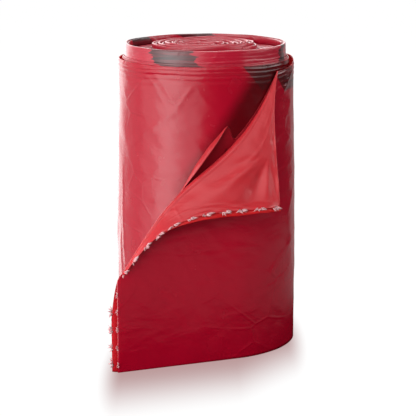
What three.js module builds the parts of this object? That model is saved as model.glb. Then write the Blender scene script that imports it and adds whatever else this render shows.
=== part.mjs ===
import * as THREE from 'three';

// A coreless roll of folded film bags stands on its end. The outermost bag goes once round
// the roll, leaves it at the front and stands free, with its top corner folded outwards.
// Millimetres, +Z up, +X right, -Y towards the viewer.

// The wound roll: its side, its bore and the turns that show on its two ends
const rollRadius = 62;
const boreRadius = 21;
const rimRadius = 60.6;
const rimWidth = 3.6;
const shoulderWidth = 0.7;
const coilRadius = 41;
const coilGap = 1.6;

// Heights of the turns on the top end, measured from the outer bag's top edge
const rimRise = 11.3;
const coilRise = 12.5;
const recessRise = 6;
const shoulderRise = 3.5;
const outerTurnRise = 1.5;
const coilGapDepth = 7;

// Ridges that the edges of the film make on the ends
const ridgeDepth = 1.3;
const coilTurns = 5;
const recessTurns = 4;
const baseTurns = 5;
const baseWidth = 14;
const baseRecess = 2.5;

// The outer bag: the width of the folded film, its plies taken together, and its fit
const bagHeight = 218.5;
const bagThickness = 1;
const seatGap = 0.3;
const wrapTurns = 1.25;

// The loose end: where it leaves the roll, how far it runs and how its end curls back
const leaveAngle = THREE.MathUtils.degToRad(-69);
const looseLength = 98;
const endCurlLength = 7;
const endCurlRadius = 7;

// The fold: a crease from the free edge up to the top edge, high at first and low higher up
const creaseRadius = 3;
const creaseFootHeight = 74;
const creaseFootInset = 10;
const freeEdgeDrop = 34;
const creaseTopDrop = 6;
const creaseTopRun = 37;
const creaseBow = -1.5;
const creaseSway = 7.7;
const topSlumpRun = 62;

// The folded corner, as it hangs in front of the loose end
const cornerDrop = 98;
const cornerRun = 17;
const cornerStand = 24;
const cornerShare = 0.56;
const lipLength = 4;
const tornEdgeBend = 3.3;
const topEdgeLean = 0.4;
const topEdgeBend = 5;

// Fineness of the faces
const turnSegments = 64;
const wrapStep = 7.2;
const looseStep = 6;
const wallRows = 5;
const curlRows = 5;
const flapRows = 5;
const cornerColumns = 3;

const film = new THREE.MeshStandardMaterial({ color: 0xb3142c, roughness: 0.32, metalness: 0 });
const outerFilm = new THREE.MeshStandardMaterial({ color: 0xa01028, roughness: 0.3, metalness: 0 });

// Film edges between two radii: a ridge for each turn, with a dip on either side of it
function turnRidges(fromRadius, toRadius, height, depth, turns) {
  const pitch = (toRadius - fromRadius) / turns;
  const points = [];
  for (let turn = 0; turn < turns; turn += 1) {
    points.push([fromRadius + pitch * turn, height - depth]);
    points.push([fromRadius + pitch * (turn + 0.5), height]);
  }
  points.push([toRadius, height - depth]);
  return points;
}

// The roll's section, from the bore at the base outwards, up the side and back to the bore
function rollSection() {
  const coilTop = bagHeight + coilRise;
  const recessTop = bagHeight + recessRise;
  const rimTop = bagHeight + rimRise;
  const shoulderTop = bagHeight + shoulderRise;
  const outerTurnTop = bagHeight + outerTurnRise;
  const rimInner = rimRadius - rimWidth;
  const recessInner = coilRadius + coilGap;
  const gapFloor = recessTop - coilGapDepth;
  const base = turnRidges(boreRadius, rollRadius - baseWidth, baseRecess, ridgeDepth, baseTurns);
  const side = [
    [rollRadius - baseWidth, 0],
    [rollRadius, 0],
    [rollRadius, outerTurnTop],
    [rimRadius + shoulderWidth, outerTurnTop],
    [rimRadius + shoulderWidth, shoulderTop],
    [rimRadius, shoulderTop],
    [rimRadius, rimTop],
    [rimInner, rimTop],
  ];
  const recess = turnRidges(recessInner, rimInner, recessTop, ridgeDepth, recessTurns).reverse();
  const gap = [[recessInner, gapFloor], [coilRadius, gapFloor]];
  const coil = turnRidges(boreRadius, coilRadius, coilTop, ridgeDepth, coilTurns).reverse();
  const section = [...base, ...side, ...recess, ...gap, ...coil, base[0]];
  return section.map(([radius, height]) => new THREE.Vector2(radius, height));
}

function makeRoll() {
  const geometry = new THREE.LatheGeometry(rollSection(), turnSegments);
  geometry.rotateX(Math.PI / 2);
  const roll = new THREE.Mesh(geometry, film);
  roll.name = 'bag_roll';
  return roll;
}

// The bag winds outwards by its own thickness and the gap on every turn
const layerPitch = bagThickness + seatGap;
const bagRadius = rollRadius + seatGap + bagThickness / 2 + layerPitch * wrapTurns;
const turnLength = 2 * Math.PI * bagRadius;
const wrapLength = turnLength * wrapTurns;
const creaseFootRun = looseLength - creaseFootInset;

// The bag's line seen from above. The run is measured from where the bag leaves the roll:
// negative on the roll, positive on the loose end.
function planAt(run) {
  const leaveNormal = new THREE.Vector3(Math.cos(leaveAngle), Math.sin(leaveAngle), 0);
  const leaveTangent = new THREE.Vector3(Math.sin(leaveAngle), -Math.cos(leaveAngle), 0);
  if (run <= 0) {
    const angle = leaveAngle - run / bagRadius;
    const normal = new THREE.Vector3(Math.cos(angle), Math.sin(angle), 0);
    const radius = bagRadius + (layerPitch * run) / turnLength;
    return { point: normal.clone().multiplyScalar(radius), normal };
  }
  const straight = Math.min(run, looseLength - endCurlLength);
  const point = leaveNormal.clone().multiplyScalar(bagRadius);
  point.addScaledVector(leaveTangent, straight);
  const turned = (run - straight) / endCurlRadius;
  const normal = leaveNormal.clone().multiplyScalar(Math.cos(turned));
  normal.addScaledVector(leaveTangent, Math.sin(turned));
  point.addScaledVector(leaveNormal, -endCurlRadius).addScaledVector(normal, endCurlRadius);
  return { point, normal };
}

// Share of the way along the crease, from its foot at 0 to the top edge at 1
function creaseShare(run) {
  return (creaseFootRun - run) / (creaseFootRun + creaseTopRun);
}

// Height of the wall's top at a run: the free edge's rounded corner, the crease, or the top
// edge behind the crease, which slumps towards it
function wallHeight(run) {
  const creaseTop = bagHeight - creaseTopDrop;
  if (run > creaseFootRun) {
    const rounded = ((run - creaseFootRun) / creaseFootInset) ** 2;
    return creaseFootHeight - freeEdgeDrop * rounded;
  }
  if (run >= -creaseTopRun) {
    const share = creaseShare(run);
    const line = THREE.MathUtils.lerp(creaseFootHeight, creaseTop, share);
    const bow = creaseBow * Math.sin(Math.PI * share);
    return line + bow + creaseSway * Math.sin(2 * Math.PI * share);
  }
  const back = THREE.MathUtils.smoothstep(-creaseTopRun - run, 0, topSlumpRun);
  return THREE.MathUtils.lerp(creaseTop, bagHeight, back);
}

function creasePoint(run) {
  const { point } = planAt(run);
  return point.clone().setZ(wallHeight(run));
}

// The folded corner's edges: the torn edge from the crease's foot to the corner, and then
// the top edge from the corner back up to the crease's top
function flapEdge(share) {
  const cornerHeight = bagHeight - cornerDrop;
  const closeStand = 2 * creaseRadius;
  let run;
  let height;
  let stand;
  if (share < cornerShare) {
    const along = share / cornerShare;
    run = THREE.MathUtils.lerp(creaseFootRun, -cornerRun, along);
    const rise = 1 - (1 - along) ** tornEdgeBend;
    height = THREE.MathUtils.lerp(creaseFootHeight - lipLength, cornerHeight, rise);
    stand = THREE.MathUtils.lerp(closeStand, cornerStand, Math.sqrt(along));
  } else {
    const along = (share - cornerShare) / (1 - cornerShare);
    const sideways = topEdgeLean * along + (1 - topEdgeLean) * along ** topEdgeBend;
    run = THREE.MathUtils.lerp(-cornerRun, -creaseTopRun, sideways);
    height = THREE.MathUtils.lerp(cornerHeight, bagHeight - creaseTopDrop - lipLength, along);
    stand = THREE.MathUtils.lerp(cornerStand, closeStand, along);
  }
  const { point, normal } = planAt(run);
  return point.clone().addScaledVector(normal, stand).setZ(height);
}

// One column of the bag's middle surface: up the wall, over the crease and down the corner
function bagColumn(run) {
  const { point, normal } = planAt(run);
  const height = wallHeight(run);
  const column = [];
  for (let row = 0; row <= wallRows; row += 1) {
    column.push(point.clone().setZ((height * row) / wallRows));
  }
  if (run < -creaseTopRun || run > creaseFootRun) return column;
  const crease = creasePoint(run);
  const nudge = 0.5;
  const before = creasePoint(Math.min(run + nudge, creaseFootRun));
  const after = creasePoint(Math.max(run - nudge, -creaseTopRun));
  const along = after.sub(before).normalize();
  const over = along.clone().cross(normal).normalize();
  if (over.z < 0) over.negate();
  const centre = crease.clone().addScaledVector(normal, creaseRadius);
  for (let row = 1; row <= curlRows; row += 1) {
    const turn = (Math.PI * row) / curlRows;
    const curl = centre.clone().addScaledVector(normal, -creaseRadius * Math.cos(turn));
    column.push(curl.addScaledVector(over, creaseRadius * Math.sin(turn)));
  }
  const top = column[column.length - 1];
  const edge = flapEdge(creaseShare(run));
  for (let row = 1; row <= flapRows; row += 1) {
    column.push(top.clone().lerp(edge, row / flapRows));
  }
  return column;
}

// Runs of the columns, from the start of the turn on the roll to the free edge
function columnRuns() {
  const runs = [];
  const onRoll = wrapLength - creaseTopRun;
  const wrapColumns = Math.ceil(onRoll / wrapStep);
  for (let index = 0; index < wrapColumns; index += 1) {
    runs.push(-wrapLength + (onRoll * index) / wrapColumns);
  }
  const folded = creaseTopRun + creaseFootRun;
  const foldedColumns = Math.ceil(folded / looseStep);
  for (let index = 0; index <= foldedColumns; index += 1) {
    runs.push(-creaseTopRun + (folded * index) / foldedColumns);
  }
  for (let index = 1; index <= cornerColumns; index += 1) {
    runs.push(creaseFootRun + (creaseFootInset * index) / cornerColumns);
  }
  return runs;
}

// Triangles over the columns. Neighbouring columns share as many rows as the shorter one has.
function surfaceTriangles(columns, starts) {
  const triangles = [];
  for (let index = 0; index + 1 < columns.length; index += 1) {
    const rows = Math.min(columns[index].length, columns[index + 1].length);
    for (let row = 0; row + 1 < rows; row += 1) {
      const a = starts[index] + row;
      const b = starts[index + 1] + row;
      triangles.push([a, b, b + 1], [a, b + 1, a + 1]);
    }
  }
  return triangles;
}

// A closed sheet from a middle surface: a face on either side, joined round the border
function thickSheet(points, triangles, thickness) {
  const normals = points.map(() => new THREE.Vector3());
  for (const [a, b, c] of triangles) {
    const first = points[b].clone().sub(points[a]);
    const face = first.cross(points[c].clone().sub(points[a]));
    for (const corner of [a, b, c]) normals[corner].add(face);
  }
  const positions = [];
  for (const side of [0.5, -0.5]) {
    points.forEach((point, index) => {
      const offset = normals[index].clone().normalize().multiplyScalar(side * thickness);
      positions.push(...point.clone().add(offset).toArray());
    });
  }
  const count = points.length;
  const faces = [];
  const edges = new Map();
  for (const [a, b, c] of triangles) {
    faces.push(a, b, c, count + a, count + c, count + b);
    for (const [from, to] of [[a, b], [b, c], [c, a]]) {
      if (!edges.delete(`${to} ${from}`)) edges.set(`${from} ${to}`, [from, to]);
    }
  }
  for (const [from, to] of edges.values()) {
    faces.push(from, count + from, count + to, from, count + to, to);
  }
  const geometry = new THREE.BufferGeometry();
  geometry.setAttribute('position', new THREE.Float32BufferAttribute(positions, 3));
  geometry.setIndex(faces);
  geometry.computeVertexNormals();
  return geometry;
}

function makeOuterBag() {
  const columns = columnRuns().map(bagColumn);
  const starts = [];
  const points = [];
  for (const column of columns) {
    starts.push(points.length);
    points.push(...column);
  }
  const triangles = surfaceTriangles(columns, starts);
  const bag = new THREE.Mesh(thickSheet(points, triangles, bagThickness), outerFilm);
  bag.name = 'outer_bag';
  return bag;
}

// The origin is on the floor, under the middle of the whole object
const object = new THREE.Group();
object.add(makeRoll(), makeOuterBag());
object.updateMatrixWorld(true);
const bounds = new THREE.Box3().setFromObject(object, true);
const middle = bounds.getCenter(new THREE.Vector3());
object.position.set(-middle.x, -middle.y, -bounds.min.z);

export default object;
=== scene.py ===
import math
import random

import bmesh
import bpy
import numpy as np
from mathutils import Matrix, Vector, noise


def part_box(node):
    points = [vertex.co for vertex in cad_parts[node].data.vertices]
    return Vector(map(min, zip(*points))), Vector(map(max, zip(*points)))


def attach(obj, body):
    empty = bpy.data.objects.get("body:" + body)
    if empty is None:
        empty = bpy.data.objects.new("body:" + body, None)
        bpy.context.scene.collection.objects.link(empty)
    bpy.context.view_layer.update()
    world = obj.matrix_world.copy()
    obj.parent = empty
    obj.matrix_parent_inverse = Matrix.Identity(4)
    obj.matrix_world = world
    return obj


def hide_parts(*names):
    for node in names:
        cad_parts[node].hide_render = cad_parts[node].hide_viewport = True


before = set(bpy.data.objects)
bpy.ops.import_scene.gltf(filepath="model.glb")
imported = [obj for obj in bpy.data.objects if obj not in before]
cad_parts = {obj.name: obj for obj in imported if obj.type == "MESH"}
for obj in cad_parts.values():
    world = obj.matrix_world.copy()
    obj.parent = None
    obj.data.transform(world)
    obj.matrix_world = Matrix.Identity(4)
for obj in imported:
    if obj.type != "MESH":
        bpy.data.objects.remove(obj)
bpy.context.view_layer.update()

# Sizes are in millimetres round the roll's axis, as in the part, and are put into metres in
# the frame when a mesh is made.
MM = 0.001
roll_low, roll_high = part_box("bag_roll")
AXIS_X = (roll_low[0] + roll_high[0]) / 2
AXIS_Y = (roll_low[1] + roll_high[1]) / 2
COIL_TOP = roll_high[2] / MM

# The roll and its ends
ROLL_RADIUS = 62.0
BORE_RADIUS = 21.0
COIL_RADIUS = 41.0
COIL_GAP = 1.6
RIM_RADIUS = 60.6
RIM_WIDTH = 3.6

# The outer bag
BAG_HEIGHT = 218.5
BAG_THICKNESS = 1.0
SEAT_GAP = 0.3
WRAP_TURNS = 1.25
LEAVE_ANGLE = math.radians(-69)
LOOSE_LENGTH = 98.0
END_CURL_LENGTH = 7.0
END_CURL_RADIUS = 7.0
CREASE_RADIUS = 3.0
CREASE_FOOT_HEIGHT = 74.0
CREASE_FOOT_INSET = 10.0
FREE_EDGE_DROP = 34.0
CREASE_TOP_DROP = 6.0
CREASE_TOP_RUN = 37.0
CREASE_BOW = -1.5
CREASE_SWAY = 7.7
TOP_SLUMP_RUN = 62.0
CORNER_DROP = 100.5
CORNER_RUN = 19.0
CORNER_STAND = 24.0
CORNER_SHARE = 0.56
LIP_LENGTH = 1.0
TORN_EDGE_BEND = 3.9
TOP_EDGE_LEAN = 0.4
TOP_EDGE_BEND = 5.0

LAYER_PITCH = BAG_THICKNESS + SEAT_GAP
BAG_RADIUS = ROLL_RADIUS + SEAT_GAP + BAG_THICKNESS / 2 + LAYER_PITCH * WRAP_TURNS
TURN_LENGTH = 2 * math.pi * BAG_RADIUS
WRAP_LENGTH = TURN_LENGTH * WRAP_TURNS
CREASE_FOOT_RUN = LOOSE_LENGTH - CREASE_FOOT_INSET
CREASE_TOP_HEIGHT = BAG_HEIGHT - CREASE_TOP_DROP
PERFORATION_PITCH = 12.7
FOOT_STAND = 2.2
TIP_STAND = 0.9
# Where the film stands off the roll: (angle, how far, spread)
SIDE_BULGES = [
    (math.radians(8), 2.2, math.radians(36)),
    (math.radians(180), 0.9, math.radians(36)),
]
# The film flares towards the base, except at the front where the loose end leaves
FLARE = 2.7
FLARE_FROM_HEIGHT = 70.0
FLARE_FREE_ANGLE = math.radians(-75)


# Meshes

def linked(name, data):
    """A new object in the scene."""
    piece = bpy.data.objects.new(name, data)
    bpy.context.scene.collection.objects.link(piece)
    return piece


def make_mesh(name, points, faces, materials, face_materials=None, sheet=None):
    """A piece from points in millimetres round the roll's axis."""
    mesh = bpy.data.meshes.new(name)
    places = np.asarray(points, dtype=float) * MM
    places = places + np.array([AXIS_X, AXIS_Y, 0.0])
    mesh.from_pydata(places.tolist(), [], [tuple(face) for face in faces])
    for material in materials:
        mesh.materials.append(material)
    if face_materials is not None:
        mesh.polygons.foreach_set("material_index", np.asarray(face_materials, dtype=np.int32))
    if sheet is not None:
        layer = mesh.attributes.new("sheet", "FLOAT_VECTOR", "POINT")
        layer.data.foreach_set("vector", np.asarray(sheet, dtype=np.float32).ravel())
    mesh.polygons.foreach_set("use_smooth", np.ones(len(mesh.polygons), dtype=bool))
    mesh.update()
    return linked(name, mesh)


def quad_normals(points, quads):
    """The normal at each point of a surface of quads."""
    corners = points[quads]
    faces = np.cross(corners[:, 2] - corners[:, 0], corners[:, 3] - corners[:, 1])
    normals = np.zeros_like(points)
    for corner in range(4):
        np.add.at(normals, quads[:, corner], faces)
    lengths = np.linalg.norm(normals, axis=1, keepdims=True)
    return normals / np.maximum(lengths, 1e-9)


def border_edges(quads):
    """The directed edges that only one quad has, in the order found."""
    seen = {}
    for a, b, c, d in quads.tolist():
        for edge in ((a, b), (b, c), (c, d), (d, a)):
            if seen.pop((edge[1], edge[0]), None) is None:
                seen[edge] = True
    return list(seen)


def thick_sheet(name, points, quads, thickness, materials, sheet, border_kind=1):
    """A closed film: an outer face, an inner face and a border.

    materials is (outer, inner), and border_kind says which of them the border has.
    """
    normals = quad_normals(points, quads)
    both = np.concatenate([points + normals * thickness / 2, points - normals * thickness / 2])
    count = len(points)
    border = border_edges(quads)
    rim = [(b, a, count + a, count + b) for a, b in border]
    faces = [*quads.tolist(), *(quads[:, ::-1] + count).tolist(), *rim]
    kinds = [0] * len(quads) + [1] * len(quads) + [border_kind] * len(rim)
    return make_mesh(name, both, faces, materials, kinds, np.concatenate([sheet, sheet]))


def grid_quads(columns, rows, closed=False):
    """Quads over a grid that is numbered column by column. A closed grid joins up both ways."""
    open_ends = 0 if closed else 1
    column, row = np.meshgrid(np.arange(columns - open_ends), np.arange(rows - open_ends), indexing="ij")
    after, above = (column + 1) % columns, (row + 1) % rows
    return np.stack([column * rows + row, after * rows + row, after * rows + above,
                     column * rows + above], axis=-1).reshape(-1, 4)


def perlin(x, y, z=0.0):
    """Smooth noise from about -1 to 1 over arrays of places."""
    x, y, z = np.broadcast_arrays(x, y, z)
    values = [noise.noise(Vector(place)) for place in zip(x.ravel(), y.ravel(), z.ravel())]
    return np.array(values).reshape(x.shape)


def smoothstep(value, low, high):
    share = np.clip((value - low) / (high - low), 0.0, 1.0)
    return share * share * (3 - 2 * share)


def unit(vectors):
    """The vectors with a length of 1."""
    return vectors / np.maximum(np.linalg.norm(vectors, axis=-1, keepdims=True), 1e-6)


def without_rise(normal):
    """A normal of the bag's line, seen from above, as a direction in space."""
    return np.concatenate([normal, np.zeros((len(normal), 1))], axis=1)


# The bag's line seen from above, as in the part

def plan_at(run):
    """Point and outward normal of the bag's line at a run, which is an array."""
    run = np.asarray(run, dtype=float)
    leave_normal = np.array([math.cos(LEAVE_ANGLE), math.sin(LEAVE_ANGLE)])
    leave_tangent = np.array([math.sin(LEAVE_ANGLE), -math.cos(LEAVE_ANGLE)])
    on_roll = np.minimum(run, 0.0)
    angle = LEAVE_ANGLE - on_roll / BAG_RADIUS
    normal = np.stack([np.cos(angle), np.sin(angle)], axis=-1)
    bulge = sum(size * np.exp(-((angle - middle) / spread) ** 2)
                for middle, size, spread in SIDE_BULGES)
    point = normal * (BAG_RADIUS + LAYER_PITCH * on_roll / TURN_LENGTH + bulge)[..., None]
    straight = np.clip(run, 0.0, LOOSE_LENGTH - END_CURL_LENGTH)
    point = point + leave_tangent * straight[..., None]
    turned = np.maximum(run - straight, 0.0) * (run > 0) / END_CURL_RADIUS
    curled = (leave_normal * np.cos(turned)[..., None] + leave_tangent * np.sin(turned)[..., None])
    normal = np.where((run > 0)[..., None], curled, normal)
    point = point + np.where((run > 0)[..., None], (curled - leave_normal) * END_CURL_RADIUS, 0.0)
    return point, normal


def flare_at(run, height):
    """How far the film on the roll flares outwards at a height."""
    from_front = LEAVE_ANGLE - run / BAG_RADIUS - FLARE_FREE_ANGLE
    sideways = 1 - np.maximum(np.cos(from_front), 0.0) ** 2
    low = 1 - smoothstep(height, FLARE_FROM_HEIGHT, BAG_HEIGHT)
    return FLARE * sideways * low * (1 - smoothstep(run, -8.0, 0.0))


def crease_share(run):
    return (CREASE_FOOT_RUN - run) / (CREASE_FOOT_RUN + CREASE_TOP_RUN)


def crease_height(run, bow, sway):
    share = np.clip(crease_share(run), 0.0, 1.0)
    line = CREASE_FOOT_HEIGHT + (CREASE_TOP_HEIGHT - CREASE_FOOT_HEIGHT) * share
    return line + bow * np.sin(np.pi * share) + sway * np.sin(2 * np.pi * share)


def wall_height(run):
    """Height of the wall's top: the free edge's corner, the crease, or the slumped top edge."""
    run = np.asarray(run, dtype=float)
    crease = crease_height(run, CREASE_BOW, CREASE_SWAY)
    back = smoothstep(-CREASE_TOP_RUN - run, 0.0, TOP_SLUMP_RUN)
    top_edge = CREASE_TOP_HEIGHT + (BAG_HEIGHT - CREASE_TOP_HEIGHT) * back
    rounded = np.maximum((run - CREASE_FOOT_RUN) / CREASE_FOOT_INSET, 0.0) ** 2
    corner = CREASE_FOOT_HEIGHT - FREE_EDGE_DROP * rounded
    height = np.where(run < -CREASE_TOP_RUN, top_edge, crease)
    return np.where(run > CREASE_FOOT_RUN, corner, height)


def flap_edge(share):
    """The folded corner's edge: the torn edge up to the corner, then the top edge."""
    corner_height = BAG_HEIGHT - CORNER_DROP
    torn = np.clip(share / CORNER_SHARE, 0.0, 1.0)
    top = np.clip((share - CORNER_SHARE) / (1 - CORNER_SHARE), 0.0, 1.0)
    torn_run = CREASE_FOOT_RUN + (-CORNER_RUN - CREASE_FOOT_RUN) * torn
    foot = CREASE_FOOT_HEIGHT - LIP_LENGTH
    torn_height = foot + (corner_height - foot) * (1 - (1 - torn) ** TORN_EDGE_BEND)
    torn_stand = FOOT_STAND + (CORNER_STAND - FOOT_STAND) * torn ** 0.75
    sideways = TOP_EDGE_LEAN * top + (1 - TOP_EDGE_LEAN) * top ** TOP_EDGE_BEND
    top_run = -CORNER_RUN + (-CREASE_TOP_RUN + CORNER_RUN) * sideways
    top_height = corner_height + (CREASE_TOP_HEIGHT - LIP_LENGTH - corner_height) * top
    top_stand = CORNER_STAND + (TIP_STAND - CORNER_STAND) * top
    on_torn = share < CORNER_SHARE
    run = np.where(on_torn, torn_run, top_run)
    height = np.where(on_torn, torn_height, top_height)
    stand = np.where(on_torn, torn_stand, top_stand)
    point, normal = plan_at(run)
    point = point + normal * stand[:, None]
    return np.concatenate([point, height[:, None]], axis=1)


# Materials

def new_material(name):
    material = bpy.data.materials.new(name)
    material.use_nodes = True
    tree = material.node_tree
    return material, tree, tree.nodes["Principled BSDF"]


def math_node(tree, operation, *values):
    """A maths node whose inputs are numbers or the outputs of other nodes."""
    node = tree.nodes.new("ShaderNodeMath")
    node.operation = operation
    for socket, value in zip(node.inputs, values):
        if isinstance(value, (int, float)):
            socket.default_value = value
        else:
            tree.links.new(value, socket)
    return node.outputs[0]


def vector_node(tree, operation, first, second=None):
    """A vector maths node whose inputs are tuples or the outputs of other nodes."""
    node = tree.nodes.new("ShaderNodeVectorMath")
    node.operation = operation
    for socket, value in zip(node.inputs, (first, second)):
        if isinstance(value, tuple):
            socket.default_value = value
        elif value is not None:
            tree.links.new(value, socket)
    return node.outputs["Value" if operation in ("LENGTH", "DOT_PRODUCT", "DISTANCE") else "Vector"]


def map_range(tree, value, bounds, results, smooth=True):
    node = tree.nodes.new("ShaderNodeMapRange")
    if smooth:
        node.interpolation_type = "SMOOTHSTEP"
    node.inputs["From Min"].default_value, node.inputs["From Max"].default_value = bounds
    node.inputs["To Min"].default_value, node.inputs["To Max"].default_value = results
    tree.links.new(value, node.inputs["Value"])
    return node.outputs[0]


def noise_node(tree, scale, detail, vector=None, distortion=0.0):
    node = tree.nodes.new("ShaderNodeTexNoise")
    node.inputs["Scale"].default_value = scale
    node.inputs["Detail"].default_value = detail
    node.inputs["Distortion"].default_value = distortion
    if vector is not None:
        tree.links.new(vector, node.inputs["Vector"])
    return node.outputs["Fac"]


def scaled(tree, vector, factors):
    return vector_node(tree, "MULTIPLY", vector, factors)


def object_place(tree):
    return tree.nodes.new("ShaderNodeTexCoord").outputs["Object"]


def colour_mix(tree, share, first, second):
    node = tree.nodes.new("ShaderNodeMix")
    node.data_type = "RGBA"
    for index, value in ((0, share), (6, first), (7, second)):
        socket = node.inputs[index]
        if isinstance(value, tuple):
            socket.default_value = (*value, 1.0)
        else:
            tree.links.new(value, socket)
    return node.outputs[2]


def block_mask(tree, along, up, block):
    """1 inside a slanted block of ink. block is (middle run, middle height, width, height, slant)."""
    middle_run, middle_height, width, height, slant = block
    rise = math_node(tree, "SUBTRACT", up, middle_height)
    lean = math_node(tree, "MULTIPLY", rise, slant)
    side = math_node(tree, "SUBTRACT", math_node(tree, "SUBTRACT", along, middle_run), lean)
    inside_width = math_node(tree, "LESS_THAN", math_node(tree, "ABSOLUTE", side), width / 2)
    inside_height = math_node(tree, "LESS_THAN", math_node(tree, "ABSOLUTE", rise), height / 2)
    return math_node(tree, "MULTIPLY", inside_width, inside_height)


def sheet_place(tree, jag):
    """The run and height on the film, in millimetres. jag shifts each layer of a print sideways."""
    attribute = tree.nodes.new("ShaderNodeAttribute")
    attribute.attribute_name = "sheet"
    split = tree.nodes.new("ShaderNodeSeparateXYZ")
    tree.links.new(attribute.outputs["Vector"], split.inputs[0])
    wander = noise_node(tree, 420.0, 3.0, object_place(tree))
    wander = math_node(tree, "MULTIPLY", math_node(tree, "SUBTRACT", wander, 0.5), 1.6)
    if jag:
        layers = noise_node(tree, 10.0, 3.0, scaled(tree, object_place(tree), (1.0, 1.0, 32.0)))
        shift = math_node(tree, "MULTIPLY", math_node(tree, "SUBTRACT", layers, 0.5), jag)
        wander = math_node(tree, "ADD", wander, shift)
    return math_node(tree, "ADD", split.outputs[0], wander), split.outputs[1], split.outputs[2]


INK = (0.028, 0.006, 0.008)
PRINTED_RADIUS = 57.0


def ink_share(tree, blocks, jag):
    """How much ink covers the film, streaked along the web as a worn roller prints."""
    along, up, printed = sheet_place(tree, jag)
    total = None
    for block in blocks:
        mask = block_mask(tree, along, up, block)
        total = mask if total is None else math_node(tree, "MAXIMUM", total, mask)
    streaks = noise_node(tree, 60.0, 4.0, scaled(tree, object_place(tree), (0.4, 0.4, 9.0)))
    worn = math_node(tree, "MULTIPLY_ADD", streaks, -1.1, 1.38)
    worn.node.use_clamp = True
    shown = math_node(tree, "GREATER_THAN", printed, PRINTED_RADIUS)
    return math_node(tree, "MULTIPLY", math_node(tree, "MULTIPLY", total, worn), shown)


def painted_valley_shade_share(tree):
    """How much painted shade darkens the film in the valley beside the fold, from 0 to 1."""
    along, up, _ = sheet_place(tree, 0.0)
    (upper_run, upper_height), (lower_run, lower_height) = PAINTED_SHADE_LINE
    slope = (lower_run - upper_run) / (lower_height - upper_height)
    line_run = math_node(tree, "MULTIPLY_ADD", up, slope, upper_run - slope * upper_height)
    beyond = math_node(tree, "SUBTRACT", line_run, along)
    near = map_range(tree, beyond, (-PAINTED_SHADE_REACH, 0.0), (0.0, 1.0))
    return math_node(tree, "MULTIPLY", near, map_range(tree, up, PAINTED_SHADE_FADE_HEIGHTS, (0.0, 1.0)))


# The runs between which a colour for the free end takes over
FREE_END_RUNS = (66.0, 84.0)
GLOW_COLOUR = (0.9, 0.02, 0.05, 1.0)
WRINKLE_DEPTH = 0.0022


def film_material(name, colour, shade, roughness, blocks=(), wrinkle=0.35, glow=0.3, jag=0.0,
                  painted_valley_shade=None, at_end=None, ior=1.6):
    """Thin glossy film: a base that varies softly, ink, creases and wrinkles, and some light
    let through. painted_valley_shade is a painted shade colour for the valley beside the fold, at_end a
    colour for the free end."""
    material, tree, shader = new_material(name)
    place = object_place(tree)
    soft = noise_node(tree, 18.0, 3.0, place)
    base = colour_mix(tree, soft, colour, shade)
    # Painted shade: the valley beside the fold is darkened in the film's colour
    if painted_valley_shade:
        base = colour_mix(tree, painted_valley_shade_share(tree), base, painted_valley_shade)
    if at_end:
        along, _, _ = sheet_place(tree, 0.0)
        base = colour_mix(tree, map_range(tree, along, FREE_END_RUNS, (0.0, 1.0)), base, at_end)
    if blocks:
        base = colour_mix(tree, ink_share(tree, blocks, jag), base, INK)
    tree.links.new(base, shader.inputs["Base Color"])
    haze = noise_node(tree, 55.0, 4.0, place)
    rough = math_node(tree, "MULTIPLY_ADD", haze, 0.16, roughness - 0.08)
    tree.links.new(rough, shader.inputs["Roughness"])
    coarse = noise_node(tree, 30.0, 4.0, scaled(tree, place, (1.0, 1.0, 2.1)), 0.6)
    creases = math_node(tree, "MULTIPLY_ADD", crease_network(tree, place, 26.0, 0.05), 0.20, coarse)
    height = math_node(tree, "MULTIPLY_ADD", crease_network(tree, place, 75.0, 0.06), 0.05, creases)
    bump = tree.nodes.new("ShaderNodeBump")
    bump.inputs["Strength"].default_value = wrinkle
    bump.inputs["Distance"].default_value = WRINKLE_DEPTH
    tree.links.new(height, bump.inputs["Height"])
    tree.links.new(bump.outputs["Normal"], shader.inputs["Normal"])
    shader.inputs["IOR"].default_value = ior
    if glow:
        through = tree.nodes.new("ShaderNodeBsdfTranslucent")
        through.inputs["Color"].default_value = GLOW_COLOUR
        mix = tree.nodes.new("ShaderNodeMixShader")
        mix.inputs[0].default_value = glow
        tree.links.new(shader.outputs[0], mix.inputs[1])
        tree.links.new(through.outputs[0], mix.inputs[2])
        tree.links.new(mix.outputs[0], tree.nodes["Material Output"].inputs["Surface"])
    return material


def crease_network(tree, place, scale, width):
    """Straight fine creases that meet at odd angles, fading in and out along the film."""
    cells = tree.nodes.new("ShaderNodeTexVoronoi")
    cells.feature = "DISTANCE_TO_EDGE"
    cells.inputs["Scale"].default_value = scale
    tree.links.new(scaled(tree, place, (1.0, 1.0, 1.5)), cells.inputs["Vector"])
    line = map_range(tree, cells.outputs["Distance"], (0.0, width), (1.0, 0.0))
    fade = noise_node(tree, scale * 0.6, 2.0, place)
    patch = map_range(tree, fade, (0.48, 0.62), (0.0, 1.0), smooth=False)
    return math_node(tree, "MULTIPLY", line, patch)


def run_at(degrees, turn=0):
    """The run that lies at an angle round the roll, on the outer turn or the one under it."""
    return -(math.radians(degrees) - LEAVE_ANGLE) * BAG_RADIUS - turn * TURN_LENGTH


# Dark print blocks: (middle run, middle height, width, height, slant)
FILM_BLOCKS = [
    (run_at(-47, 1), 211.0, 26.0, 22.0, 0.95),
    (run_at(-22), 207.0, 30.0, 20.0, 0.85),
    (run_at(60), 208.0, 44.0, 22.0, -0.6),
    (run_at(150), 210.0, 30.0, 18.0, 0.5),
]
RIM_BLOCKS = [
    (-math.radians(110.5) * RIM_RADIUS, 223.0, 33.0, 18.0, -0.6),
    (math.radians(152) * RIM_RADIUS, 226.0, 30.0, 14.0, 0.5),
    (-math.radians(22) * RIM_RADIUS, 224.0, 11.0, 12.0, 0.4),
    (math.radians(94) * RIM_RADIUS, 224.0, 30.0, 16.0, 0.6),
]
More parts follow.
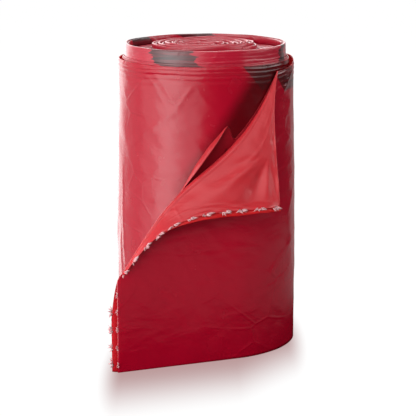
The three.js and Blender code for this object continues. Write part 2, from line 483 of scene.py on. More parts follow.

# The valley beside the fold, where shade is painted into the film's colour: a line on the turn under the
# loose end, as two (run, height)
PAINTED_SHADE_LINE = ((run_at(-54, 1), 205.0), (run_at(-82, 1), 160.0))
PAINTED_SHADE_REACH = 17.0
PAINTED_SHADE_FADE_HEIGHTS = (115.0, 150.0)

# The last colour of film_outer is painted shade for the valley beside the fold
film_outer = film_material("film_outer", (0.53, 0.002, 0.026), (0.46, 0.0015, 0.022), 0.25, FILM_BLOCKS,
                           painted_valley_shade=(0.10, 0.0, 0.004))
# Painted shade: the second ply's wall, in the folded corner's shadow, is the film painted dark, less dark
# towards its free end
film_slot_painted_shade = film_material("film_slot_painted_shade", (0.27, 0.0, 0.008), (0.21, 0.0, 0.006), 0.6, glow=0.0,
                          at_end=(0.42, 0.0, 0.006), ior=1.25)
film_inner = film_material("film_inner", (0.74, 0.035, 0.048), (0.66, 0.024, 0.036), 0.38, wrinkle=0.3)
film_edges = film_material("film_edges", (0.50, 0.006, 0.03), (0.36, 0.003, 0.02), 0.3, RIM_BLOCKS,
                           wrinkle=0.4, glow=0.0, jag=22.0)
# film_deep is the film painted darker as painted shade, for the core that shows deep in the gaps between the
# edges and in the bore
film_deep = film_material("film_deep", (0.30, 0.004, 0.018), (0.16, 0.002, 0.010), 0.5, wrinkle=0.5, glow=0.0)
film_lit = film_material("film_lit", (0.86, 0.002, 0.008), (0.78, 0.001, 0.006), 0.55, wrinkle=0.2)
film_torn = film_material("film_torn", (1.0, 0.72, 0.74), (0.98, 0.58, 0.62), 0.75, wrinkle=0.0, glow=0.4)


# Relief of the outer bag's film

def crease_line(run, height, start, end, lift, width):
    """A soft crease from start to end, which are (run, height). It fades at its ends."""
    start, end = np.array(start), np.array(end)
    line = end - start
    length = np.linalg.norm(line)
    direction = line / length
    from_run, from_height = run - start[0], height - start[1]
    along = from_run * direction[0] + from_height * direction[1]
    across = from_run * direction[1] - from_height * direction[0]
    fade = smoothstep(along, -0.1 * length, 0.25 * length)
    fade = fade * (1 - smoothstep(along, 0.75 * length, 1.1 * length))
    return lift * fade * np.exp(-np.abs(across) / width)


# Creases of the outer bag: (turn, (angle and height of the start), the same of the end, lift, width).
# Turn 1 is the one under the loose end, which shows at the front left.
CREASES = [
    (1, (-153, 155), (-128, 171), 0.6, 1.7),
    (1, (-131, 169), (-108, 188), 0.7, 1.7),
    (1, (-109, 187), (-97, 207), 0.5, 1.8),
    (1, (-119, 205), (-107, 187), 0.5, 1.6),
    (1, (-131, 172), (-94, 162), 0.42, 1.9),
    (1, (-132, 141), (-88, 144), 0.42, 2.2),
    (1, (-129, 120), (-92, 124), 0.35, 2.4),
    (1, (-126, 104), (-100, 92), 0.3, 2.2),
    (1, (-150, 118), (-120, 84), 0.35, 2.4),
    (1, (-128, 158), (-104, 152), -0.35, 2.0),
    (1, (-124, 134), (-98, 130), 0.3, 1.6),
    (1, (-122, 151), (-96, 150), 0.26, 1.5),
    (1, (-126, 112), (-99, 109), 0.26, 1.6),
    (1, (-170, 165), (-160, 40), 0.9, 2.4),
    (1, (-161, 140), (-155, 62), 0.7, 1.9),
    (1, (-176, 120), (-166, 20), 0.8, 2.2),
    (0, (-31, 194), (-12, 213), 0.9, 1.2),
    (0, (-34, 150), (-12, 168), 0.5, 1.5),
    (0, (-38, 132), (-10, 148), 0.5, 1.6),
    (0, (-30, 170), (-15, 190), 0.5, 1.5),
    (0, (-46, 58), (-12, 84), 0.5, 2.0),
    (0, (-52, 46), (-16, 58), 0.4, 2.0),
    (0, (-26, 100), (-8, 128), 0.5, 1.6),
]


# Ridges under the top edge: (how far below it, lift, width)
HEM_RIDGES = [(2.4, 0.7, 0.9), (5.2, 0.75, 1.0), (8.8, 0.5, 1.1), (13.0, 0.3, 1.5)]


def film_relief(run, height):
    """How far the outer bag's film stands off its smooth surface."""
    relief = 0.55 * perlin(run / 46.0, height / 120.0, 3.1)
    relief = relief + 0.34 * perlin((run + 0.6 * height) / 21.0, (height - 0.4 * run) / 58.0, 9.7)
    ridged = 1 - np.abs(perlin((run - 0.8 * height) / 15.0, (height + 0.5 * run) / 44.0, 21.3))
    relief = relief + 0.24 * ridged ** 3
    level = 1 - np.abs(perlin(run / 34.0, height / 8.5, 33.0))
    relief = relief + 0.22 * level ** 4 * smoothstep(perlin(run / 60.0, height / 40.0, 2.2), -0.1, 0.4)
    for turn, (from_angle, from_height), (to_angle, to_height), lift, width in CREASES:
        start = (run_at(from_angle, turn), from_height)
        end = (run_at(to_angle, turn), to_height)
        relief = relief + crease_line(run, height, start, end, lift, width)
    under_top = wall_height(run) - height
    hem_wander = 1.2 * perlin(run / 30.0, 0.0, 5.5)
    on_turn = 1 - smoothstep(run, -30.0, -10.0)
    for below, lift, width in HEM_RIDGES:
        strength = 0.6 + 0.4 * perlin(run / 22.0, below, 1.7)
        ridge = np.exp(-((under_top - below - hem_wander) / width) ** 2)
        relief = relief + lift * strength * ridge * on_turn
    return relief


def spaced(stretches):
    """Places along stretches of (start, end, step), each end once."""
    places = [stretches[0][0]]
    for start, end, step in stretches:
        count = max(1, math.ceil(abs(end - start) / step))
        places.extend(start + (end - start) * (index + 1) / count for index in range(count))
    return np.array(places)


# The wall's rows, as shares of its height: close together near the top edge
WALL_SHARES = spaced([(0.0, 0.87, 0.0118), (0.87, 1.0, 0.0026)])
WALL_ROWS = len(WALL_SHARES)
CURL_ROWS = 9
FLAP_ROWS = 46


# Below this height the film lies flatter, and at the base it keeps this share of its relief
SETTLE_HEIGHT = 10.0
BASE_RELIEF = 0.35


def wall_places(runs, heights_top):
    """The wall's points, column by column."""
    heights = heights_top[:, None] * WALL_SHARES[None, :]
    run_grid = np.repeat(runs[:, None], WALL_ROWS, axis=1)
    plan, normal = plan_at(run_grid)
    settle = smoothstep(heights, 0.0, SETTLE_HEIGHT)
    relief = film_relief(run_grid, heights) * (BASE_RELIEF + (1 - BASE_RELIEF) * settle)
    places = plan + normal * (relief + flare_at(run_grid, heights))[..., None]
    return np.concatenate([places, heights[..., None]], axis=-1), run_grid, heights


def curled_rows(tops, outward, radius, turn):
    """Rows that curl outwards over a top edge, and the direction along that edge."""
    along = unit(np.gradient(tops, axis=0))
    over = np.cross(along, outward)
    over = over * np.sign(over[:, 2:3])
    away = outward[:, None] * (radius[:, None] * (1 - np.cos(turn)))[..., None]
    up = over[:, None] * (radius[:, None] * np.sin(turn))[..., None]
    return tops[:, None] + away + up, along


def flap_places(runs, tops):
    """The folded corner's points, column by column, from the crease to its edge."""
    share = crease_share(runs)
    _, normal = plan_at(runs)
    outward = without_rise(normal)
    radius = CREASE_RADIUS * np.clip(share / 0.45, 0.22, 1.0) * np.clip((1 - share) / 0.3, 0.12, 1.0)
    turn = np.pi * np.arange(1, CURL_ROWS + 1) / CURL_ROWS
    curl, along = curled_rows(tops, outward, radius, turn)
    edge = flap_edge(share)
    step = np.arange(1, FLAP_ROWS + 1) / FLAP_ROWS
    start = curl[:, -1]
    spread = start[:, None] + (edge - start)[:, None] * step[None, :, None]
    length = np.linalg.norm(edge - start, axis=1)
    billow = 0.05 * length[:, None] * np.sin(np.pi * step)[None, :]
    facing = unit(np.cross(edge - start, along))
    facing = facing * np.sign((facing * outward).sum(axis=1, keepdims=True))
    spread = spread + facing[:, None] * billow[..., None]
    spread = spread + facing[:, None] * flap_relief(spread, share, step, length)[..., None]
    return np.concatenate([curl, spread], axis=1)


# Folds of the folded corner: (start, end) as (share of the crease, step to the edge), lift, width
FLAP_FOLDS = [
    ((0.60, 0.20), (0.86, 0.80), 0.5, 0.014),
    ((0.80, 0.40), (0.93, 0.80), 0.5, 0.012),
    ((0.20, 0.30), (0.40, 0.70), 0.4, 0.016),
]
# Folds that fan out from a point near the free side: (x, height) of the point, then the
# angle, lift and spread of each, in degrees from +X
FAN_POINT = (46.0, 156.0)
FAN_FOLDS = [
    (214.0, 1.5, 8.0),
    (248.0, -2.2, 12.0),
    (196.0, -0.5, 7.0),
    (268.0, 0.5, 5.0),
    (282.0, -0.4, 5.0),
]
FAN_REACH = 20.0
# How far the film curls up beside the corner's point, and the top edge's hem
CORNER_CURL = 2.6
HEM_LIFT = 0.8


def fan_relief(places):
    """Folds that fan out over the corner from where the film is pulled."""
    away_x, away_z = places[..., 0] - FAN_POINT[0], places[..., 2] - FAN_POINT[1]
    angle = np.degrees(np.arctan2(away_z, away_x)) % 360.0
    reach = np.hypot(away_x, away_z)
    folds = sum(lift * np.exp(-((angle - middle) / spread) ** 2) for middle, lift, spread in FAN_FOLDS)
    return folds * smoothstep(reach, 1.0, FAN_REACH) * (1 - 0.6 * smoothstep(reach, 26.0, 48.0))


def flap_relief(places, share, step, length):
    """Wrinkles of the folded corner: long pulls from the crease's top, and a crumpled corner."""
    across = np.repeat(share[:, None], len(step), axis=1)
    down = np.repeat(step[None, :], len(share), axis=0)
    size = np.minimum(length / 40.0, 1.0)[:, None]
    soft = 0.8 * perlin(across * 5.0, down * 1.6, 4.2)
    crumple = 0.9 * perlin(across * 24.0, down * 7.0, 8.8) * smoothstep(down, 0.6, 0.95)
    pulls = 0.5 * perlin(across * 40.0, down * 3.0, 3.3) * smoothstep(across, 0.5, 0.7)
    relief = 0.7 * soft + crumple + pulls + fan_relief(places)
    near_corner = np.exp(-((across - 0.50) / 0.055) ** 2)
    relief = relief + CORNER_CURL * near_corner * smoothstep(down, 0.78, 1.0)
    on_top_edge = smoothstep(across, CORNER_SHARE, CORNER_SHARE + 0.05)
    relief = relief + HEM_LIFT * smoothstep(down, 0.93, 1.0) * on_top_edge
    for (from_share, from_step), (to_share, to_step), lift, width in FLAP_FOLDS:
        run_share = (down - from_step) / (to_step - from_step)
        centre = from_share + (to_share - from_share) * run_share
        fade = smoothstep(run_share, -0.1, 0.35) * (1 - smoothstep(run_share, 0.8, 1.25))
        relief = relief + lift * fade * np.exp(-((across - centre) / width) ** 2)
    return relief * size * smoothstep(down, 0.0, 0.25)


PLY_THICKNESS = 0.35
OUTER_EDGE_RUN = LOOSE_LENGTH - 5.5
# The columns of the outer ply: (from run, to run, step)
OUTER_STRETCHES = [
    (-WRAP_LENGTH, -440.0, 5.0),
    (-440.0, -400.0, 2.2),
    (-400.0, -300.0, 1.35),
    (-300.0, -75.0, 4.0),
    (-75.0, -CREASE_TOP_RUN, 1.9),
    (-CREASE_TOP_RUN, CREASE_FOOT_RUN, 1.6),
    (CREASE_FOOT_RUN, OUTER_EDGE_RUN, 1.2),
]


def make_outer_bag():
    """The outer ply of the outer bag: its wall, its crease and its folded corner."""
    runs = spaced(OUTER_STRETCHES)
    heights_top = wall_height(runs)
    wall, run_grid, heights = wall_places(runs, heights_top)
    folded = np.where((runs >= -CREASE_TOP_RUN - 1e-6) & (runs <= CREASE_FOOT_RUN + 1e-6))[0]
    flap = flap_places(runs[folded], wall[folded, -1])
    flap_rows = CURL_ROWS + FLAP_ROWS
    grid = np.empty((len(folded), flap_rows + 1), dtype=int)
    grid[:, 0] = folded * WALL_ROWS + WALL_ROWS - 1
    grid[:, 1:] = len(runs) * WALL_ROWS + np.arange(len(folded) * flap_rows).reshape(len(folded), flap_rows)
    beyond = heights_top[folded][:, None] + np.linalg.norm(flap - wall[folded, -1][:, None], axis=-1)
    flap_run = np.repeat(runs[folded][:, None], flap_rows, axis=1)
    printed = np.stack([run_grid, heights, np.full_like(heights, BAG_RADIUS)], axis=-1)
    bare = np.stack([flap_run, beyond, np.zeros_like(beyond)], axis=-1)
    flap_quads = np.stack([grid[:-1, 1:], grid[1:, 1:], grid[1:, :-1], grid[:-1, :-1]], axis=-1)
    return thick_sheet("outer_bag_film", np.concatenate([wall.reshape(-1, 3), flap.reshape(-1, 3)]),
                       np.concatenate([grid_quads(len(runs), WALL_ROWS)[:, ::-1], flap_quads.reshape(-1, 4)]),
                       PLY_THICKNESS, [film_outer, film_inner],
                       np.concatenate([printed.reshape(-1, 3), bare.reshape(-1, 3)]))


outer_bag = make_outer_bag()
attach(outer_bag, "root")
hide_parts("outer_bag")


# The plies behind the outer one: the bag is a flat tube of two films

def tent(value, rise_from, full_from, full_to, fall_to):
    return smoothstep(value, rise_from, full_from) * (1 - smoothstep(value, full_to, fall_to))


SECOND_PLY_BOW = 2.2
SECOND_PLY_SWAY = 4.5


def second_ply_rise(run):
    """How far the second ply's edge stands above the line that it creases along."""
    towards_foot = 1 - np.clip((run - 8.0) / 38.0, 0.0, 1.0) ** 0.8
    return -1.5 + 15.5 * smoothstep(run, 1.0, 8.0) * towards_foot


def second_ply_gap(run):
    """How far the second ply hangs behind the outer one."""
    return 0.55 + 2.3 * tent(run, -4.0, 26.0, 40.0, 80.0) + 1.2 * smoothstep(run, 80.0, 94.0)


def second_ply_height(run):
    run = np.asarray(run, dtype=float)
    lifted = crease_height(run, SECOND_PLY_BOW, SECOND_PLY_SWAY) - crease_height(run, CREASE_BOW, CREASE_SWAY)
    height = wall_height(run) + second_ply_rise(run) + np.maximum(lifted, 0.0) * (run < CREASE_FOOT_RUN)
    return np.minimum(height, BAG_HEIGHT - 5.0)


def bare_ply(name, runs, points, materials, border_kind=1):
    """A ply without print, from points that are numbered column by column."""
    columns, rows = points.shape[:2]
    sheet = np.zeros((columns, rows, 3))
    sheet[..., 0] = runs[:, None]
    return thick_sheet(name, points.reshape(-1, 3), grid_quads(columns, rows)[:, ::-1], PLY_THICKNESS,
                       materials, sheet.reshape(-1, 3), border_kind)


LIP_ROWS = 10
LIP_TURN = np.radians(150)


def make_second_ply():
    """The wall of the second ply, with the narrow lip that curls over at its top edge."""
    runs = spaced([(-46.0, -12.0, 3.0), (-12.0, 50.0, 1.3), (50.0, CREASE_FOOT_RUN, 2.5),
                   (CREASE_FOOT_RUN, LOOSE_LENGTH, 1.2)])
    tops = second_ply_height(runs)
    rows = 64
    share = np.linspace(0.0, 1.0, rows)
    share = share * (1.3 - 0.3 * share)
    heights = tops[:, None] * share[None, :]
    run_grid = np.repeat(runs[:, None], rows, axis=1)
    plan, normal = plan_at(run_grid)
    relief = 0.5 * perlin(run_grid / 30.0, heights / 50.0, 14.0) * smoothstep(heights, 0.0, 10.0)
    gap = second_ply_gap(run_grid)
    wall = np.concatenate([plan + normal * (np.minimum(relief, gap - 0.45) - gap)[..., None],
                           heights[..., None]], axis=-1)
    lip_size = 0.15 + 10.5 * tent(runs, 4.0, 20.0, 26.0, 46.0)
    turn = LIP_TURN * np.arange(1, LIP_ROWS + 1) / LIP_ROWS
    lip, _ = curled_rows(wall[:, -1], without_rise(normal[:, -1]), lip_size / LIP_TURN, turn)
    points = np.concatenate([wall, lip], axis=1)
    # The wall and its border take the painted shade colour, the lip the film's inner face
    return bare_ply("second_ply", runs, points, [film_slot_painted_shade, film_inner], border_kind=0)


def flap_lift(first_run, last_run):
    runs = spaced([(first_run, last_run, 1.6)])
    wall, _, _ = wall_places(runs, wall_height(runs))
    return runs, flap_places(runs, wall[:, -1])


# The crease's run whose film ends at the folded corner's point
TORN_CORNER_RUN = CREASE_FOOT_RUN - CORNER_SHARE * (CREASE_FOOT_RUN + CREASE_TOP_RUN)


def make_under_ply():
    """The ply under the folded corner, whose torn edge shows just below the corner's own."""
    runs, flap = flap_lift(TORN_CORNER_RUN, 84.0)
    rows = 26
    flat = flap[:, CURL_ROWS:]
    pick = np.linspace(0, flat.shape[1] - 1, rows).round().astype(int)
    flat = flat[:, pick]
    _, normal = plan_at(runs)
    share = np.linspace(0.0, 1.0, rows)[None, :]
    gap = 0.7 + 1.2 * share ** 2 * tent(runs, 19.0, 28.0, 46.0, 60.0)[:, None]
    ahead = unit(flat[:, -1] - flat[:, -2])
    strip = 0.5 + 3.2 * tent(runs, 13.5, 17.0, 56.0, 78.0) + 1.4 * tent(runs, 22.0, 38.0, 46.0, 64.0)
    show = (strip + 0.4 * perlin(runs / 5.0, 3.0))[:, None]
    length = np.linalg.norm(flat[:, -1] - flat[:, 0], axis=1, keepdims=True)
    size = np.minimum(length / 10.0, 1.0)
    points = flat - without_rise(normal)[:, None] * (gap * size)[..., None]
    down = ahead * 0.45 + np.array([0.0, 0.0, -0.6])
    points = points + down[:, None] * (show * size)[:, None] * (share ** 3)[..., None]
    return bare_ply("under_ply", runs, points, [film_lit, film_lit])


second_ply = make_second_ply()
under_ply = make_under_ply()


# Torn perforation: a tuft of drawn film wherever a bridge between the cuts gave way

TUFT_DEPTH = 0.14


def spike(base, tip, side, width, curl):
    """A narrow closed wedge of film from base to tip, bent sideways by curl."""
    middle = (base + tip) / 2 + curl
    depth = unit(np.cross(tip - base, side)) * TUFT_DEPTH
    half = side * width / 2
    ring = [base + half, base + depth, base - half, base - depth]
    waist = [middle + half * 0.7, middle + depth, middle - half * 0.7, middle - depth]
    points = [*ring, *waist, tip]
    faces = [(3, 2, 1, 0)]
    for corner in range(4):
        after = (corner + 1) % 4
        faces.append((corner, after, after + 4, corner + 4))
        faces.append((corner + 4, after + 4, 8))
    return points, faces


def tufts_along(line, away, outward, seed, size=1.0):
    """Tufts at the perforation's pitch along a torn edge. away points off the film's edge."""
    draw = random.Random(seed)
    steps = np.linalg.norm(np.diff(line, axis=0), axis=1)
    reach = np.concatenate([[0.0], np.cumsum(steps)])
    points, faces = [], []
    place = draw.uniform(0.2, 0.6) * PERFORATION_PITCH
    while place < reach[-1] - 1.0:
        at = np.array([np.interp(place, reach, line[:, axis]) for axis in range(3)])
        index = min(int(np.searchsorted(reach, place)), len(line) - 2)
        along = unit(line[index + 1] - line[index])
        off, out = away[index], outward[index]
        for _ in range(draw.randint(11, 14)):
            lean = draw.uniform(-1.0, 1.0)
            length = size * draw.uniform(1.2, 3.2)
            direction = off * draw.uniform(0.0, 1.5) + along * lean * 1.1 + out * draw.uniform(-0.2, 0.9)
            direction = unit(direction)
            base = at + along * lean * 1.5 * size - off * 0.5
            tip = base + direction * length
            side = unit(np.cross(direction, out + off * 0.3))
            curl = out * draw.uniform(-0.5, 0.7) + along * draw.uniform(-0.4, 0.4)
            new_points, new_faces = spike(base, tip, side, draw.uniform(0.8, 1.7) * size, curl)
            faces.extend(tuple(corner + len(points) for corner in face) for face in new_faces)
            points.extend(new_points)
        place += PERFORATION_PITCH * draw.uniform(0.93, 1.07)
    return points, faces


EDGE_POINTS = 40


def free_edge(run, top, inset):
    """Points up a free edge, with the direction off the edge and the outward one."""
    heights = np.linspace(2.0, top, EDGE_POINTS)
    plan, normal = plan_at(np.full(EDGE_POINTS, run))
    line = np.concatenate([plan - normal * inset, heights[:, None]], axis=1)
    tangent = np.stack([normal[:, 1], -normal[:, 0]], axis=1)
    return line, without_rise(tangent), without_rise(normal)


def make_tufts():
    runs, flap = flap_lift(TORN_CORNER_RUN, CREASE_FOOT_RUN)
    _, normal = plan_at(runs)
    corner_edge = (flap[:, -1], unit(flap[:, -1] - flap[:, -4]), without_rise(normal))
    outer_edge = free_edge(OUTER_EDGE_RUN, 64.0, -0.2)
    inner_edge = free_edge(LOOSE_LENGTH, 55.0, 1.6)
    points, faces = [], []
    for line, off, out, seed, size in ((*corner_edge, 3, 1.4), (*outer_edge, 7, 0.8),
                                       (*inner_edge, 11, 1.3)):
        new_points, new_faces = tufts_along(line, off, out, seed, size)
        faces.extend(tuple(corner + len(points) for corner in face) for face in new_faces)
        points.extend(new_points)
    return make_mesh("torn_tufts", points, faces, [film_torn])


torn_tufts = make_tufts()

# The plies and the tufts hang from the root body
for piece in (second_ply, under_ply, torn_tufts):
    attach(piece, "root")
    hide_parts("outer_bag")


# The roll: one long spiral of film edges on each end, on a solid core of wound film

# The turns of the coil lie in bundles, one for each bag
BUNDLE_PITCH = 4.6
# How far the crumpled centre sits to the left
CENTRE_SHIFT = -8.0


def coil_height(radius):
    """Height of the inner coil's edges: a low dome that dips at the bore and at the side."""
    share = np.clip((radius - BORE_RADIUS) / (COIL_RADIUS - BORE_RADIUS), 0.0, 1.0)
    bundles = 0.9 * np.cos(2 * np.pi * (COIL_RADIUS - 1.0 - radius) / BUNDLE_PITCH)
    return COIL_TOP - 2.2 + bundles + 0.9 * np.sin(share * np.pi) - 2.4 * smoothstep(-radius, -20.0, -9.0)


def recess_height(radius):
    return np.full_like(radius, BAG_HEIGHT + 5.4)


def rim_height(radius):
    return BAG_HEIGHT + 11.2 - 0.5 * (RIM_RADIUS - radius) / RIM_WIDTH


def shoulder_height(radius):
    return BAG_HEIGHT + 3.0 - 1.2 * (radius - RIM_RADIUS)


def radial_wander(angle, radius):
    """How far the turns stray from true circles: little at the rim, much at the centre."""
    x, y = np.cos(angle), np.sin(angle)
    loose = 1 - smoothstep(radius, 20.0, 46.0)
    wave = perlin(x * 1.3, y * 1.3, radius / 18.0)
    buckle = perlin(x * 3.4 + 7.0, y * 3.4, radius / 7.0)
    return wave * (0.25 + 2.4 * loose) + buckle * (0.06 + 1.5 * loose ** 2)


def round_axis(angle, reach, height):
    """Points at angles round the roll's axis, at distances from it and at heights."""
    return np.stack(np.broadcast_arrays(np.cos(angle) * reach, np.sin(angle) * reach, height), axis=-1)


def roll_mesh(name, points, faces, material):
    """A piece of the roll, with its place on the print: arc at the rim, height and radius."""
    x, y, height = points[..., 0], points[..., 1], points[..., 2]
    sheet = np.stack([np.arctan2(y, x) * RIM_RADIUS, height, np.hypot(x, y)], axis=-1)
    return make_mesh(name, points.reshape(-1, 3), faces, [material], sheet=sheet.reshape(-1, 3))


def film_spiral(name, from_radius, to_radius, pitch, height_of, depth, thickness, wobble, seed, flip=False):
    """A spiral of folded film edges. With flip it faces down, at the base."""
    turns = (to_radius - from_radius) / pitch
    per_turn = 150
    count = int(turns * per_turn)
    angle = np.linspace(0.0, turns * 2 * np.pi, count + 1)
    radius = from_radius + pitch * angle / (2 * np.pi)
    turn_number = np.floor(angle / (2 * np.pi))
    lift = wobble * perlin(np.cos(angle) * 1.6, np.sin(angle) * 1.6, angle / 4.4 + seed)
    lift = lift + 0.5 * wobble * perlin(angle * 1.9, turn_number, seed + 3.0)
    top = height_of(radius) + lift
    place = radius + radial_wander(angle, radius) + 0.16 * perlin(angle * 2.3, seed, 2.0)
    half = thickness / 2
    section = [(half, -depth), (half, -1.3 * half), (0.7 * half, -0.5 * half), (0.0, 0.0),
               (-0.7 * half, -0.5 * half), (-half, -1.3 * half), (-half, -depth)]
    rows = len(section)
    lines = [round_axis(angle, place + side, top - down if flip else top + down)
             for side, down in section]
    points = np.stack(lines, axis=1)
    points[..., 0] += (CENTRE_SHIFT * (1 - smoothstep(radius, 6.0, 26.0)))[:, None]
    index = np.arange(count)[:, None] * rows
    ring = np.arange(rows)
    after = (ring + 1) % rows
    a, b = index + ring, index + after
    quads = np.stack([a, a + rows, b + rows, b], axis=-1).reshape(-1, 4)
    caps = [list(range(rows)), [count * rows + row for row in reversed(range(rows))]]
    faces = [*quads.tolist(), *caps]
    if flip:
        faces = [face[::-1] for face in faces]
    return roll_mesh(name, points, faces, film_edges)


def lathe(name, profile, segments, material):
    """A closed piece turned, with some wander, from (radius, height) points round its section."""
    angle = np.arange(segments) * 2 * np.pi / segments
    rings = []
    for radius, height in profile:
        reach = np.full(segments, float(radius))
        rings.append(round_axis(angle, reach + radial_wander(angle, reach), height))
    quads = grid_quads(segments, len(profile), closed=True)
    return roll_mesh(name, np.stack(rings, axis=1), quads, material)


def make_core():
    """The solid of wound film under the edges, with its wrinkled bore."""
    heights = np.linspace(6.0, COIL_TOP - 8.0, 40)
    inner = BORE_RADIUS - 0.8
    profile = [(inner, height) for height in heights[::-1]]
    profile += [(inner + 0.8, 4.5), (30.0, 4.0), (46.0, 3.6), (ROLL_RADIUS - 0.4, 3.2)]
    side = np.linspace(8.0, BAG_HEIGHT - 2.0, 8)
    profile += [(ROLL_RADIUS, height) for height in side]
    profile += [(RIM_RADIUS - 0.9, BAG_HEIGHT - 2.0), (RIM_RADIUS - 0.9, BAG_HEIGHT + 4.0)]
    profile += [(RIM_RADIUS - RIM_WIDTH, BAG_HEIGHT + 4.0), (RIM_RADIUS - RIM_WIDTH - 1.0, BAG_HEIGHT + 0.5)]
    profile += [(COIL_RADIUS + 0.4, BAG_HEIGHT + 0.0), (COIL_RADIUS - 1.0, COIL_TOP - 7.0)]
    # The core takes film_deep, the film painted darker as painted shade
    return lathe("roll_core", profile, 180, film_deep)


def base_height(radius):
    return np.where(radius > ROLL_RADIUS - 14.0, 0.75, 1.9)


roll_core = make_core()
coil_edges = film_spiral("coil_film_edges", 6.0, COIL_RADIUS - 0.8, 2.3, coil_height, 9.0, 1.3, 1.1, 0.0)
recess_edges = film_spiral("recess_film_edges", COIL_RADIUS + COIL_GAP + 0.8, RIM_RADIUS - RIM_WIDTH - 0.8,
                           1.5, recess_height, 6.0, 1.0, 0.8, 12.0)
rim_edges = film_spiral("rim_film_edges", RIM_RADIUS - RIM_WIDTH + 0.3, RIM_RADIUS - 1.3, 0.85, rim_height,
                        8.0, 0.6, 0.5, 25.0)
shoulder_edges = film_spiral("shoulder_film_edges", RIM_RADIUS + 0.4, ROLL_RADIUS + 0.9, 0.8,
                             shoulder_height, 6.0, 0.5, 0.5, 31.0)
base_edges = film_spiral("base_film_edges", 19.5, ROLL_RADIUS - 0.5, 1.5, base_height, 5.0, 1.0, 0.5, 40.0,
                         flip=True)
for piece in (roll_core, coil_edges, recess_edges, rim_edges, shoulder_edges, base_edges):
    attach(piece, "root")
    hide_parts("bag_roll")


# The rim: the outermost turns that stand above the outer bag, pressed into one band

BAND_THICKNESS = 1.1


def make_rim_band():
    segments, rows = 300, 34
    angle = np.arange(segments) * 2 * np.pi / segments
    rise = np.linspace(0.0, 1.0, rows)
    low, high = BAG_HEIGHT - 2.5, BAG_HEIGHT + 11.2
    angles = np.repeat(angle[:, None], rows, axis=1)
    top = high + 0.35 * perlin(np.cos(angles) * 2.4, np.sin(angles) * 2.4, 6.0)
    heights = low + (top - low) * rise[None, :]
    reach = RIM_RADIUS - 0.1 + radial_wander(angles, np.full_like(angles, RIM_RADIUS))
    for level, step in ((3.4, 0.22), (6.4, 0.12), (9.4, 0.10)):
        wander = 1.3 * perlin(np.cos(angles) * 1.7, np.sin(angles) * 1.7, level)
        reach = reach + step * (1 - smoothstep(heights - BAG_HEIGHT - wander, level - 0.35, level + 0.35))
    reach = reach - 0.5 * smoothstep(rise[None, :], 0.955, 1.0)
    outer = round_axis(angles, reach, heights)
    inner = round_axis(angles, reach[:, ::-1] - BAND_THICKNESS, heights[:, ::-1])
    points = np.concatenate([outer, inner], axis=1)
    return roll_mesh("rim_band", points, grid_quads(segments, 2 * rows, closed=True), film_edges)


rim_band = make_rim_band()
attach(rim_band, "root")
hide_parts("bag_roll")


# Camera, lights and stage

FOCAL_PIXELS = 1508.2
FRAME_PIXELS = 416
SENSOR = 36.0
CAMERA_BACK = 1134.7
CAMERA_HEIGHT = 356.5
CAMERA_SIDE = 2.07
CAMERA_PITCH = math.radians(12.66)

camera_data = bpy.data.cameras.new("camera")
camera_data.sensor_width = SENSOR
camera_data.lens = SENSOR * FOCAL_PIXELS / FRAME_PIXELS
camera_data.clip_end = 50.0
camera = linked("camera", camera_data)
camera.location = (AXIS_X + CAMERA_SIDE * MM, AXIS_Y - CAMERA_BACK * MM, CAMERA_HEIGHT * MM)
camera.rotation_euler = (math.pi / 2 - CAMERA_PITCH, 0.0, 0.0)
bpy.context.scene.camera = camera


# The point that the lights face
MIDDLE = (AXIS_X, AXIS_Y, 0.11)


def area_light(name, bearing, rise, distance, size, power):
    """A soft box. bearing is in degrees from the camera's side towards the left, rise is upwards."""
    data = bpy.data.lights.new(name, "AREA")
    data.shape = "RECTANGLE"
    data.size, data.size_y = size
    data.energy = power
    light = linked(name, data)
    turn, lift = math.radians(bearing), math.radians(rise)
    away = Vector((-math.sin(turn) * math.cos(lift), -math.cos(turn) * math.cos(lift), math.sin(lift)))
    light.location = Vector(MIDDLE) + away * distance
    light.rotation_euler = (-away).to_track_quat("-Z", "Y").to_euler()


area_light("key", 48, 6, 1.3, (0.8, 1.5), 9.0)
area_light("key_wide", 47, 6, 1.45, (2.6, 1.7), 26.0)
area_light("left", 108, 5, 1.4, (1.1, 1.7), 5.0)
area_light("right", -90, 24, 1.3, (1.4, 0.6), 9.0)
area_light("front_high", -5, 34, 1.4, (1.2, 0.6), 4.6)
area_light("top", 165, 66, 1.3, (1.0, 1.0), 12.0)
area_light("back_left", 160, 5, 1.7, (1.9, 1.8), 32.0)
area_light("back_right", 206, 5, 1.6, (1.0, 1.8), 2.6)

world = bpy.data.worlds.new("studio")
world.use_nodes = True
background = world.node_tree.nodes["Background"]
background.inputs["Color"].default_value = (1.0, 1.0, 1.0, 1.0)
background.inputs["Strength"].default_value = 0.035
bpy.context.scene.world = world
bpy.context.scene.view_settings.view_transform = "Standard"


def seen_only_by_camera(piece):
    piece.visible_diffuse = False
    piece.visible_glossy = False
    piece.visible_transmission = False
    piece.visible_volume_scatter = False
    piece.visible_shadow = False


# The foot's front outline on the floor, in metres: the loose end, the front right and the right side
FOOT_OUTLINE = [(-0.058, -0.074), (0.025, -0.042), (0.063, 0.008)]
# The painted shadow spreads further to the front than to the sides
SHADE_SCALE = (1.6, 0.28, 0.0)
SHADE_REACH = 0.031


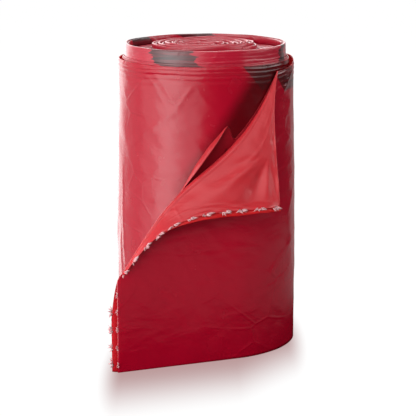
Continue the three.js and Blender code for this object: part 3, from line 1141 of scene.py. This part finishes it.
def distance_to_foot(tree):
    """How far a place on the floor is from the foot, with the sides counting more than the front."""
    place = vector_node(tree, "MULTIPLY", object_place(tree), SHADE_SCALE)
    corners = [Vector((x * SHADE_SCALE[0], y * SHADE_SCALE[1], 0.0)) for x, y in FOOT_OUTLINE]
    nearest = None
    for start, end in zip(corners, corners[1:]):
        line = end - start
        from_start = vector_node(tree, "SUBTRACT", place, tuple(start))
        along = vector_node(tree, "DOT_PRODUCT", from_start, tuple(line))
        share = math_node(tree, "DIVIDE", along, line.length_squared)
        share.node.use_clamp = True
        foot = tree.nodes.new("ShaderNodeVectorMath")
        foot.operation = "SCALE"
        foot.inputs[0].default_value = tuple(line)
        tree.links.new(share, foot.inputs["Scale"])
        distance = vector_node(tree, "DISTANCE", from_start, foot.outputs[0])
        nearest = distance if nearest is None else math_node(tree, "MINIMUM", nearest, distance)
    return nearest


def make_floor():
    """A pale floor with a painted shadow near the object, tinted pink as painted reflected red light, and
    white further off.
    """
    half = 6.0
    corners = [(-half, -half, 0), (half, -half, 0), (half, half, 0), (-half, half, 0)]
    mesh = bpy.data.meshes.new("floor")
    mesh.from_pydata(corners, [], [(0, 1, 2, 3)])
    material, tree, shader = new_material("floor")
    shader.inputs["Base Color"].default_value = (0.02, 0.02, 0.02, 1.0)
    shader.inputs["Roughness"].default_value = 0.9
    shader.inputs["IOR"].default_value = 1.05
    # Painted shadow: the floor's glow goes from pink-grey near the foot to white further off, and its pink is
    # painted reflected red light
    light = map_range(tree, distance_to_foot(tree), (0.0, SHADE_REACH), (0.0, 1.0))
    glow = colour_mix(tree, light, (0.49, 0.32, 0.32), (1.0, 1.0, 1.0))
    tree.links.new(glow, shader.inputs["Emission Color"])
    shader.inputs["Emission Strength"].default_value = 1.0
    mesh.materials.append(material)
    floor = linked("floor", mesh)
    seen_only_by_camera(floor)


def glow_material(name):
    """A material that only gives off light, with its node tree and its glow."""
    material = bpy.data.materials.new(name)
    material.use_nodes = True
    tree = material.node_tree
    tree.nodes.clear()
    glow = tree.nodes.new("ShaderNodeEmission")
    output = tree.nodes.new("ShaderNodeOutputMaterial")
    tree.links.new(glow.outputs[0], output.inputs["Surface"])
    return material, tree, glow


def make_table_glow():
    """The lit table top round the object, which only reflections see."""
    mesh = bpy.data.meshes.new("table_glow")
    ring = [(0.12, 0.0), (0.20, 0.3), (0.40, 0.3), (0.55, 0.0)]
    left, right, front, back = -0.09, ring[-1][0], -ring[-1][0], 0.2
    corners = [(left, front, 0), (right, front, 0), (right, back, 0), (left, back, 0)]
    mesh.from_pydata(corners, [], [(0, 1, 2, 3)])
    material, tree, glow = glow_material("table_glow")
    distance = vector_node(tree, "LENGTH", object_place(tree))
    near = map_range(tree, distance, (ring[0][0], ring[1][0]), (0.0, ring[1][1]))
    far = map_range(tree, distance, (ring[2][0], ring[3][0]), (1.0, 0.0))
    tree.links.new(math_node(tree, "MULTIPLY", near, far), glow.inputs["Strength"])
    mesh.materials.append(material)
    table = linked("table_glow", mesh)
    table.location.z = -0.0005
    table.visible_camera = False
    table.visible_shadow = False


def make_backdrop():
    """A white shell round the whole stage."""
    mesh = bpy.data.meshes.new("backdrop")
    shell = bmesh.new()
    bmesh.ops.create_uvsphere(shell, u_segments=32, v_segments=16, radius=5.5)
    shell.to_mesh(mesh)
    shell.free()
    material, _, glow = glow_material("backdrop")
    glow.inputs["Strength"].default_value = 1.0
    mesh.materials.append(material)
    backdrop = linked("backdrop", mesh)
    seen_only_by_camera(backdrop)


make_floor()
make_table_glow()
make_backdrop()
